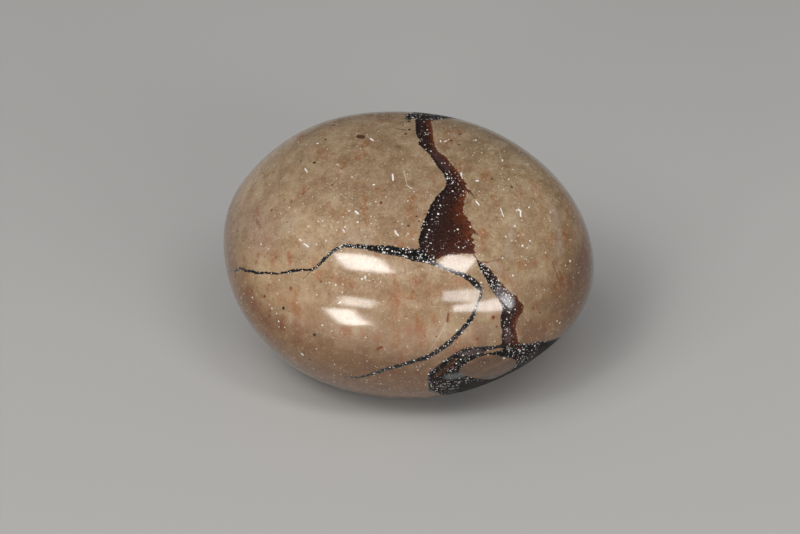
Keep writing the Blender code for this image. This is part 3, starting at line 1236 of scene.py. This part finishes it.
@dataclass(frozen=True)
class PolishedLimestone:
    """Tan limestone with a tumbled polish, crossed by brown and black veins.

    Attributes:
        left: the stone's colour towards its left end.
        middle: its colour in the middle.
        right: its colour towards its right end.
        low_shade: painted shade that it is multiplied by low down and at its right end.
        crown_shade: painted shade that it is multiplied by on top.
        end_droop: how the painted shade rises towards both ends, in mm for each square mm of length.
        grain_dark: what the darker grain is multiplied by.
        grain_pale: colour of the paler grain.
        frost: colour of the palest flecks.
        rust: colour of the iron stain.
        healed: colour of the healed hair line.
        black: colour of a black filling.
        grey: colour of the paler grain in a filling.
        russet: colour of the reddish crumbs in a black filling.
        profile: colours of a brown filling, from its dark bank to its red one.
        body_roughness: least and greatest roughness of the stone under its polish.
        body_ior: refractive index of the stone under its polish.
        polish_roughness: roughness of the polish.
        polish_ior: refractive index of the polish.
        dull: how much of the polish the fillings lack.
        jitter: how far a bank strays from its line, in mm.
        edge: how soft a bank is, in mm.
        relief_depth: depth of the waves and pits that the light shows, in mm.
        relief_strength: how strongly the light shows them.
    """

    left: Colour = seen(184, 157, 125)
    middle: Colour = seen(169, 142, 114)
    right: Colour = seen(166, 142, 112)
    low_shade: Colour = linear(184, 157, 122)
    crown_shade: Colour = linear(233, 234, 230)
    end_droop: float = 0.0166
    grain_dark: Colour = linear(200, 184, 166)
    grain_pale: Colour = seen(206, 188, 160)
    frost: Colour = seen(212, 198, 184)
    rust: Colour = seen(160, 106, 72)
    healed: Colour = seen(204, 190, 176)
    black: Colour = seen_dull(24, 22, 23)
    grey: Colour = seen_dull(96, 86, 84)
    russet: Colour = seen_dull(88, 46, 34)
    profile: tuple[tuple[float, Colour], ...] = (
        (0.0, seen_dull(30, 27, 27)),
        (0.1, seen_dull(44, 36, 35)),
        (0.28, seen_dull(56, 42, 39)),
        (0.6, seen_dull(61, 41, 36)),
        (0.8, seen_dull(82, 48, 37)),
        (0.93, seen_dull(100, 56, 40)),
        (1.0, seen_dull(112, 72, 50)),
    )
    body_roughness: tuple[float, float] = (0.42, 0.6)
    body_ior: float = 1.15
    polish_roughness: float = 0.11
    polish_ior: float = 1.8
    dull: float = 0.85
    jitter: float = 0.1
    edge: float = 0.04
    relief_depth: float = 0.04
    relief_strength: float = 0.35

    def build(self, seat: Seat, view: PhotoView) -> bpy.types.Material:
        """Make the material.

        Args:
            seat: where the block's middle stands.
            view: the photo's camera, which places the small marks.

        Returns:
            The finished material.
        """
        material = bpy.data.materials.new("polished septarian limestone")
        graph = Graph(material)
        vein, across, glints, brown, halo, gloss_lost = self.vein_masks(graph)
        stone = self.marks(graph, self.stone_colour(graph, halo), seat, view)
        filling = self.vein_colour(graph, across, glints, brown)
        graph.finish(
            {
                "Base Color": graph.blend(stone, filling, vein),
                "Roughness": graph.noise(1.2, 3.0).step(0.3, 0.75, *self.body_roughness),
                "Coat Weight": 1.0 - gloss_lost * self.dull,
                "Normal": self.relief(graph, vein),
                "IOR": self.body_ior,
                "Coat Roughness": self.polish_roughness,
                "Coat IOR": self.polish_ior,
            }
        )
        return material

    def vein_masks(self, graph: Graph) -> tuple[Signal, ...]:
        """Find where the veins are.

        Args:
            graph: the material's nodes.

        Returns:
            The veins' mask, the way across them from the dark bank to the red one, their
            glints and brownness, the pale halo beside the red banks, and where the polish
            is lost.
        """
        first, second, depth = graph.parts(graph.stored("banks", "Vector"))
        brown, glints, red = graph.parts(graph.stored("filling", "Vector"))
        island, _, _ = graph.parts(graph.stored("faint", "Vector"))
        width = (first + second).most(0.01)

        # Both banks are ragged, the red one the more so, but never by much of a thin vein
        stray = (width * 0.3).least(self.jitter).most(0.0)
        ragged = (graph.noise(3.2, 3.0, 0.65) - 0.5) * 4.0
        red_ragged = (graph.noise(2.6, 4.0, 0.75) - 0.5) * 8.0
        near = first + ragged * stray
        far = second + red_ragged * stray
        inside = near.least(far).least(depth + width.step(0.2, 0.45, 0.22, 0.12))

        # Islands of stone show through
        shows = (island + ragged * 0.04).step(-0.09, 0.07)
        vein = inside.step(-self.edge, self.edge) * (1.0 - shows)

        # The halo is a narrow band outside the red bank of a brown vein
        outside = far.step(-0.26, -0.05) * far.step(0.1, -0.02) * near.step(0.0, 0.3)
        halo = outside * brown * (depth + 0.4).step(0.0, 0.2)
        across = ((first + ragged * 0.08) / width).least(1.0).most(0.0)
        across = across + red * (1.0 - across)

        # The polish is lost in the fillings, but much less so under a pale stain or painted reflection
        glossy = graph.stored("vein_stain_and_painted_light", "Fac").step(0.02, 0.07)
        gloss_lost = vein * (brown * 0.5 + depth.step(0.0, 0.3)).least(1.0) * (1.0 - glossy * 0.8)
        return vein, across, glints, brown, halo, gloss_lost

    def stone_colour(self, graph: Graph, halo: Signal) -> Signal:
        """Colour the limestone between the veins.

        Args:
            graph: the material's nodes.
            halo: mask of the pale halo beside the red banks.

        Returns:
            The colour.
        """
        # The colour drifts from the left end to the right one
        along, _, height = graph.parts(graph.place)
        cloud = graph.noise(0.22, 3.0)
        shift = along + (cloud - 0.5) * 14.0
        colour = graph.blend(self.left, self.middle, shift.step(-16.0, -2.0))
        colour = graph.blend(colour, self.right, shift.step(0.0, 15.0))

        # Broad mottling, rust that is drawn out up and down the stone, and the placed stains with
        # their painted shade, gleam and sheen
        island, healed, extra = graph.parts(graph.stored("faint", "Vector"))
        lively = island.step(0.1, -0.05, 0.3, 1.0)
        mottle = graph.noise(0.5, 4.0, 0.6)
        dim = mottle.step(0.56, 0.4, 0.0, 0.4)
        colour = graph.blend(colour, self.grain_dark, dim, Blend.MULTIPLY)
        colour = graph.blend(colour, self.grain_pale, mottle.step(0.52, 0.7, 0.0, 0.25))
        drawn_out = graph.vector("MULTIPLY", graph.place, (1.3, 0.3, 0.3))
        streaks = graph.noise(1.0, 4.0, 0.6, drawn_out)
        stain = graph.noise(0.42, 4.0, 0.62) + (streaks - 0.5) * 0.9
        colour = graph.blend(colour, self.rust, stain.step(0.52, 0.8, 0.0, 0.7) * lively)
        patchy = graph.noise(1.8, 3.0, 0.6).step(0.25, 0.6, 0.55, 1.0)
        colour = graph.stain(colour, "stone_stain_and_painted_light", patchy.most(1.0 - lively))

        # Painted shade: the stone is darkened low down and at its right end, and a little on top
        level = height - along * along * self.end_droop + (cloud - 0.5) * 3.0
        shades = (
            (self.low_shade, level.step(14.0, 8.5)),
            (self.low_shade, along.step(13.5, 18.0, 0.0, 0.6)),
            (self.crown_shade, height.step(20.0, 25.0)),
        )
        for shade, share in shades:
            colour = graph.blend(colour, shade, share, Blend.MULTIPLY)

        # Fine grain, which is calmer low down, and flecks of frost
        grain = graph.noise(4.2, 3.0, 0.7)
        both = grain * 0.6 + graph.noise(1.3, 3.0, 0.65) * 0.4
        calm = lively * height.step(13.0, 20.0, 0.55, 1.0)
        dark = both.step(0.5, 0.36, 0.0, 0.6) * calm
        colour = graph.blend(colour, self.grain_dark, dark, Blend.MULTIPLY)
        colour = graph.blend(colour, self.grain_pale, both.step(0.51, 0.68, 0.0, 0.5) * calm)
        frost = graph.noise(2.4, 4.0, 0.8).step(0.58, 0.68, 0.0, 0.8)
        colour = graph.blend(colour, self.frost, frost * (0.15 + extra).least(1.0) * lively)

        # Rust specks, pits, the healed line and the halo
        rusty = graph.noise(0.3).step(0.45, 0.62, 0.15, 0.6) * lively
        specks, shade = graph.dots(graph.warped(3.0, 0.1), 1.4, 0.15, rusty)
        colour = graph.blend(colour, RED_DOT, specks * (0.15 + 0.6 * shade))
        pits, _ = graph.dots(graph.place, 0.9, 0.12, 0.3 * lively)
        colour = graph.blend(colour, BROWN_DOT, pits * 0.75)
        line = (healed + (grain - 0.5) * 0.1).step(0.12, 0.03, 0.0, 0.5)
        colour = graph.blend(colour, self.healed, line)
        colour = graph.blend(colour, self.grain_pale, halo * grain.step(0.4, 0.6, 0.0, 0.35))
        return self.sparkles(graph, colour, lively, extra)

    def sparkles(self, graph: Graph, colour: Signal, lively: Signal, extra: Signal) -> Signal:
        """Strew the small painted glints of crystals that the limestone is full of over its colour.

        Args:
            graph: the material's nodes.
            colour: the colour below them.
            lively: how many of them there are.
            extra: how many more of them there are.

        Returns:
            The colour with its glints.
        """
        crowd = graph.noise(0.35).step(0.35, 0.65, 0.3, 0.9) * lively + extra
        bent = graph.warped(3.0, 0.14)
        stretched = graph.warped(1.1, 0.5, (0.34, 0.9, 1.0))

        # Place, cells in a mm, radius in mm, share of the cells, least and further brightness
        layers = (
            (graph.place, 2.6, 0.08, 0.75, 0.05, 0.95),
            (bent, 1.5, 0.13, 0.45, 0.1, 0.9),
            (stretched, 1.4, 0.07, 0.25, 0.2, 0.7),
        )
        for spot, scale, radius, kept, least, more in layers:
            mask, shade = graph.dots(spot, scale, radius, crowd * kept)
            colour = graph.blend(colour, CRYSTAL_AND_PAINTED_GLINT, mask * (least + more * shade * shade))
        return colour

    def marks(self, graph: Graph, colour: Signal, seat: Seat, view: PhotoView) -> Signal:
        """Lay the small crisp marks and the larger painted glints over the stone's colour.

        Args:
            graph: the material's nodes.
            colour: the colour below them.
            seat: where the block's middle stands.
            view: the photo's camera, which places them.

        Returns:
            The colour with its marks.
        """
        bent = graph.warped(4.0, 0.07)
        for mark in (*STONE_MARKS, *GLINTS):
            start, end = mark.ends(view)
            away = graph.away(bent, seat.local(start), seat.local(end))
            mask = away.step(mark.radius, mark.radius * mark.crisp, 0.0, mark.strength)
            colour = graph.blend(colour, mark.colour, mask)
        return colour

    def vein_colour(self, graph: Graph, across: Signal, glints: Signal, brown: Signal) -> Signal:
        """Colour the fillings of the veins.

        Args:
            graph: the material's nodes.
            across: the way across a vein from its dark bank to its red one.
            glints: how thickly its crystals are painted as glints.
            brown: how brown the filling is.

        Returns:
            The colour.
        """
        # A brown filling is read across the vein, and a black one has russet crumbs
        reading = across + (graph.noise(1.3, 4.0, 0.65) - 0.5) * 0.45
        colour = graph.blend(self.black, graph.ramp(reading, self.profile), brown)
        grain = graph.noise(4.5, 3.0, 0.7)
        crumbs = graph.noise(2.3, 3.0, 0.6).step(0.56, 0.66, 0.0, 0.7)
        colour = graph.blend(colour, self.russet, crumbs * (1.0 - brown))
        colour = graph.blend(colour, self.black, grain.step(0.55, 0.3, 0.0, 0.9))
        colour = graph.blend(colour, self.grey, grain.step(0.56, 0.76, 0.0, 0.5))
        colour = graph.stain(colour, "vein_stain_and_painted_light", grain.step(0.35, 0.6, 0.4, 0.9))

        # Painted glints of crystals in two sizes, and in a third where they crowd
        _, _, extra = graph.parts(graph.stored("faint", "Vector"))
        crowd = graph.noise(0.8).step(0.3, 0.62, 0.5, 1.0) * (glints + extra)
        bent = graph.warped(5.0, 0.05)
        for scale, radius, kept in ((5.0, 0.08, crowd), (3.1, 0.125, crowd), (3.9, 0.11, extra)):
            sparkle, shade = graph.dots(bent, scale, radius, kept)
            bright = 0.1 + 0.9 * shade * shade + 0.4 * extra
            colour = graph.blend(colour, CRYSTAL_AND_PAINTED_GLINT, sparkle * bright)
        return graph.stain(colour, "vein_stain_and_painted_light", 0.4)

    def relief(self, graph: Graph, vein: Signal) -> Signal:
        """Roughen the surface a little: waves in the polish, and pitted fillings.

        Args:
            graph: the material's nodes.
            vein: mask of the veins.

        Returns:
            The surface's own direction.
        """
        waves = graph.noise(0.8)
        pitted = graph.noise(5.0, 3.0, 0.7) * vein
        sockets = {
            "Strength": self.relief_strength,
            "Distance": self.relief_depth * MM,
            "Height": waves * 0.25 + pitted * 0.6,
        }
        return graph.node("ShaderNodeBump", None, sockets)


@dataclass(frozen=True)
class FloorFinish:
    """A plain pale matt floor, with a faint cloudiness.

    Attributes:
        colour: its main colour.
        cloud_colour: colour of its clouds.
        clouds: swings of the clouds in a millimetre.
        roughness: its roughness.
    """

    colour: Colour = linear(190, 189, 187)
    cloud_colour: Colour = linear(186, 185, 183)
    clouds: float = 3.0 * MM
    roughness: float = 0.85

    def build(self) -> bpy.types.Material:
        """Make the material."""
        material = bpy.data.materials.new("pale floor")
        graph = Graph(material)
        share = graph.noise(self.clouds).step(0.4, 0.6)
        tone = graph.blend(self.colour, self.cloud_colour, share)
        graph.finish({"Base Color": tone, "Roughness": self.roughness})
        return material


def stand(name: str, data: bpy.types.ID) -> bpy.types.Object:
    """Make an object from a mesh, a light or a camera, and link it to the scene."""
    thing = bpy.data.objects.new(name, data)
    bpy.context.scene.collection.objects.link(thing)
    return thing


@dataclass
class Nodule:
    """The stone itself.

    Attributes:
        view: the photo's camera.
        finish: the stone's material.
        fineness: halvings of the starting icosahedron.
        cuts: cuts that each of its edges then gets.
        crease: creases sharper than this stay crisp, in degrees.
    """

    view: PhotoView
    finish: PolishedLimestone = field(default_factory=PolishedLimestone)
    fineness: int = 6
    cuts: int = 2
    crease: float = 12.0

    def build(self) -> tuple[bpy.types.Object, Seat]:
        """Make the mesh, with the distances to the veins on it.

        Returns:
            The stone and where its block's middle stands.
        """
        shape = bmesh.new()
        bmesh.ops.create_icosphere(shape, subdivisions=self.fineness, radius=1.0)
        bmesh.ops.subdivide_edges(shape, edges=shape.edges[:], cuts=self.cuts, use_grid_fill=True)
        mesh = bpy.data.meshes.new("stone")
        shape.to_mesh(mesh)
        shape.free()
        count = len(mesh.vertices)
        ways = np.zeros(count * 3)
        mesh.vertices.foreach_get("co", ways)
        form = self.view.form
        points = form.towards(ways.reshape(-1, 3))
        points[:, 2] = np.maximum(points[:, 2], -form.rest_depth)
        placed, seat = self.fit(points)
        mesh.vertices.foreach_set("co", placed.ravel())
        mesh.update()
        mesh.shade_smooth()
        mesh.set_sharp_from_angle(angle=math.radians(self.crease))
        self.lay_veins(mesh, points)
        self.lay_stains_and_painted_light(mesh, points)
        return stand("septarian_stone", mesh), seat

    def fit(self, points: np.ndarray) -> tuple[np.ndarray, Seat]:
        """Set the stone in the frame's box, which it fills to a few hundredths of a mm.

        Args:
            points: the surface, in mm round the block's middle.

        Returns:
            The surface in metres in the shared frame, and the seat.
        """
        low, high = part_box(NODE)
        lowest, highest = points.min(0), points.max(0)
        room = np.array(high) - np.array(low)
        shrink = np.minimum(1.0, room / ((highest - lowest) * MM))
        middle = (lowest + highest) / 2
        centre = (np.array(low) + np.array(high)) / 2
        placed = centre + (points - middle) * MM * shrink
        return placed, Seat(Vector(tuple(centre - middle * MM)))

    def lay_veins(self, mesh: bpy.types.Mesh, points: np.ndarray) -> None:
        """Write the distances to the veins, their fillings and the faint marks on a mesh.

        Args:
            mesh: the stone's mesh.
            points: its vertices, in mm round the block's middle.
        """
        veins = VeinMap(self.view)
        banks, filling = veins.survey(points, VEINS)
        islands, _ = veins.survey(points, ISLANDS)
        line = self.view.trace(HEALED_LINE)
        healed, travelled = measure_line(points, line, self.view.form)
        length = np.linalg.norm(np.diff(line, axis=0), axis=1).sum()
        past = np.maximum(0, np.maximum(-travelled, travelled - length))
        faint = np.zeros_like(banks)
        faint[:, 0] = islands[:, 2]
        faint[:, 1] = np.minimum(np.abs(healed) + past, veins.limit)
        faint[:, 2] = sum(crowd.cover(points, self.view) for crowd in CRYSTAL_GLINT_CROWDS)
        for name, values in (("banks", banks), ("filling", filling), ("faint", faint)):
            store = mesh.attributes.new(name, "FLOAT_VECTOR", "POINT")
            store.data.foreach_set("vector", values.ravel())

    def lay_stains_and_painted_light(self, mesh: bpy.types.Mesh, points: np.ndarray) -> None:
        """Write the soft stains and painted light on a mesh, their colours multiplied by their cover.

        Args:
            mesh: the stone's mesh.
            points: its vertices, in mm round the block's middle.
        """
        for name, stains in (("stone_stain_and_painted_light", STONE_STAINS_AND_PAINTED_LIGHT), ("vein_stain_and_painted_light", VEIN_STAINS_AND_PAINTED_LIGHT)):
            values = np.zeros((len(points), 4))
            for stain in stains:
                cover = stain.cover(points, self.view)[:, None]
                values += cover * (np.array(stain.colour) - values)
            store = mesh.attributes.new(name, "FLOAT_COLOR", "POINT")
            store.data.foreach_set("color", values.ravel())

    def dress(self, stone: bpy.types.Object, seat: Seat) -> None:
        """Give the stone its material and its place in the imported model."""
        stone.data.materials.append(self.finish.build(seat, self.view))
        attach(stone, BODY)
        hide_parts(NODE)


WARM_LIGHT = (1.0, 0.97, 0.92)
COOL_LIGHT = (1.0, 0.98, 0.97)


def hang_light(name: str, glow: float, size: tuple[float, float], place: Matrix) -> bpy.types.Object:
    """Hang a soft light that the camera doesn't see.

    Args:
        name: plain name of the light.
        glow: how bright its face is.
        size: its width and height, in metres.
        place: where it hangs and how it is turned.

    Returns:
        The light.
    """
    light = bpy.data.lights.new(name, "AREA")
    light.shape = "RECTANGLE"
    light.size, light.size_y = size
    light.energy = glow * math.pi * size[0] * size[1]
    lamp = stand(name, light)
    lamp.matrix_world = place
    lamp.visible_camera = False
    return lamp


@dataclass(frozen=True)
class SoftBox:
    """A soft light that stands where the polish mirrors it at a place in the photo.

    Attributes:
        name: plain name of the light.
        glint: four places that the light is laid out between, from the upper left one on
            clockwise. Where the stone curves sharply, the glint fills another shape.
        glow: how bright its face is.
        colour: its colour.
        distance: how far from the stone it stands, in mm.
    """

    name: str
    glint: tuple[Photo, Photo, Photo, Photo]
    glow: float
    colour: tuple[float, float, float] = WARM_LIGHT
    distance: float = 400.0

    def build(self, view: PhotoView, seat: Seat) -> bpy.types.Object:
        """Make the light.

        Args:
            view: the photo's camera.
            seat: where the block's middle stands.

        Returns:
            The light.
        """
        corners = view.mirrored(self.glint, self.distance)
        centre = corners.mean(0)
        away = unit(centre - view.trace(self.glint).mean(0))
        wide = (corners[1] - corners[0] + corners[2] - corners[3]) / 2
        tall = (corners[0] - corners[3] + corners[1] - corners[2]) / 2
        wide -= away * (wide @ away)
        tall -= away * (tall @ away)
        halfway = unit(unit(wide) + unit(tall))
        side = np.cross(away, halfway)
        across = unit(halfway - side)
        upward = unit(halfway + side)
        size = (float(np.linalg.norm(wide)) * MM, float(np.linalg.norm(tall)) * MM)
        turn = Matrix((across, upward, away)).transposed().to_4x4()
        lamp = hang_light(self.name, self.glow, size, Matrix.Translation(seat.place(centre)) @ turn)
        lamp.data.color = self.colour
        return lamp


@dataclass(frozen=True)
class Studio:
    """A pale floor, soft lights and the photo's camera.

    Attributes:
        view: the photo's camera.
        seat: where the stone stands.
        floor_radius: radius of the floor, in metres.
        floor_sides: number of its sides.
        air: brightness of the room.
        air_colour: colour of the room's light.
        overhead_glow: brightness of the large overhead light.
        overhead_size: its width, in metres.
        overhead_place: where it hangs, in metres.
        boxes: the soft lights that the polish mirrors.
    """

    view: PhotoView
    seat: Seat
    floor_radius: float = 3.0
    floor_sides: int = 128
    air: float = 0.15
    air_colour: Colour = (0.96, 0.98, 1.0, 1.0)
    overhead_glow: float = 2.5
    overhead_size: float = 0.5
    overhead_place: tuple[float, float, float] = (-0.25, -0.25, 0.55)
    boxes: tuple[SoftBox, ...] = (
        SoftBox("upper left box", ((324, 263), (402, 251.5), (372, 277.5), (364, 264)), 9.0),
        SoftBox("middle left box", ((339, 294.5), (374, 301), (373, 309), (343, 303.5)), 6.0),
        SoftBox("lower left box", ((330.5, 310.5), (363, 308.5), (356, 324), (340.5, 325.5)), 9.5),
        SoftBox(
            "upper right box",
            ((449.5, 254), (476, 259), (467, 270.5), (433, 269)),
            6.8,
            COOL_LIGHT,
        ),
        SoftBox(
            "middle right box",
            ((447, 284), (475, 298.5), (481, 304.5), (442, 299)),
            4.5,
            COOL_LIGHT,
        ),
        SoftBox(
            "lower right box",
            ((451, 296.5), (516, 315), (508, 303.5), (456, 314.5)),
            6.2,
            COOL_LIGHT,
        ),
    )

    def build_floor(self) -> bpy.types.Object:
        """Lay the floor under the stone."""
        shape = bmesh.new()
        sides, radius = self.floor_sides, self.floor_radius
        bmesh.ops.create_circle(shape, cap_ends=True, segments=sides, radius=radius)
        mesh = bpy.data.meshes.new("floor")
        shape.to_mesh(mesh)
        shape.free()
        mesh.materials.append(FloorFinish().build())
        floor = stand("studio_floor", mesh)
        return floor

    def build_air(self) -> None:
        """Fill the room with an even pale light."""
        world = bpy.data.worlds.new("studio air")
        world.use_nodes = True
        backdrop = world.node_tree.nodes["Background"]
        backdrop.inputs["Color"].default_value = self.air_colour
        backdrop.inputs["Strength"].default_value = self.air
        bpy.context.scene.world = world

    def build_overhead(self) -> bpy.types.Object:
        """Hang the large overhead light."""
        place = Vector(self.overhead_place)
        turn = (place - self.seat.origin).to_track_quat("Z", "Y").to_matrix().to_4x4()
        size = (self.overhead_size, self.overhead_size)
        lamp = hang_light("overhead light", self.overhead_glow, size, Matrix.Translation(place) @ turn)
        lamp.visible_glossy = False
        return lamp

    def build_camera(self) -> bpy.types.Object:
        """Stand the camera where the photo was taken from."""
        lens = bpy.data.cameras.new("photo camera")
        lens.sensor_width = 36.0
        covered = self.view.size[0] * self.view.pixel
        lens.lens = lens.sensor_width * self.view.distance / covered
        lens.clip_start = 0.01
        camera = stand("photo camera", lens)
        turn = Matrix(self.view.axes()).transposed().to_4x4()
        camera.matrix_world = Matrix.Translation(self.seat.place(self.view.eye())) @ turn
        bpy.context.scene.camera = camera
        return camera

    def build(self) -> None:
        """Set the whole studio up."""
        self.build_floor()
        self.build_air()
        self.build_overhead()
        for box in self.boxes:
            lamp = box.build(self.view, self.seat)
            place = [round(value, 3) for value in lamp.location]
            LOG.info("%s stands at %s", box.name, place)
        self.build_camera()
        bpy.context.scene.view_settings.view_transform = "Standard"


def main() -> None:
    """Build the stone and its studio in order."""
    logging.basicConfig(level=logging.INFO, format="%(name)s: %(message)s")
    view = PhotoView(StoneForm())
    nodule = Nodule(view)
    stone, seat = nodule.build()
    LOG.info("stone: %d faces", len(stone.data.polygons))
    nodule.dress(stone, seat)
    LOG.info("stone dressed: %d veins", len(VEINS))
    Studio(view, seat).build()
    LOG.info("studio ready")


if __name__ == "__main__":
    main()
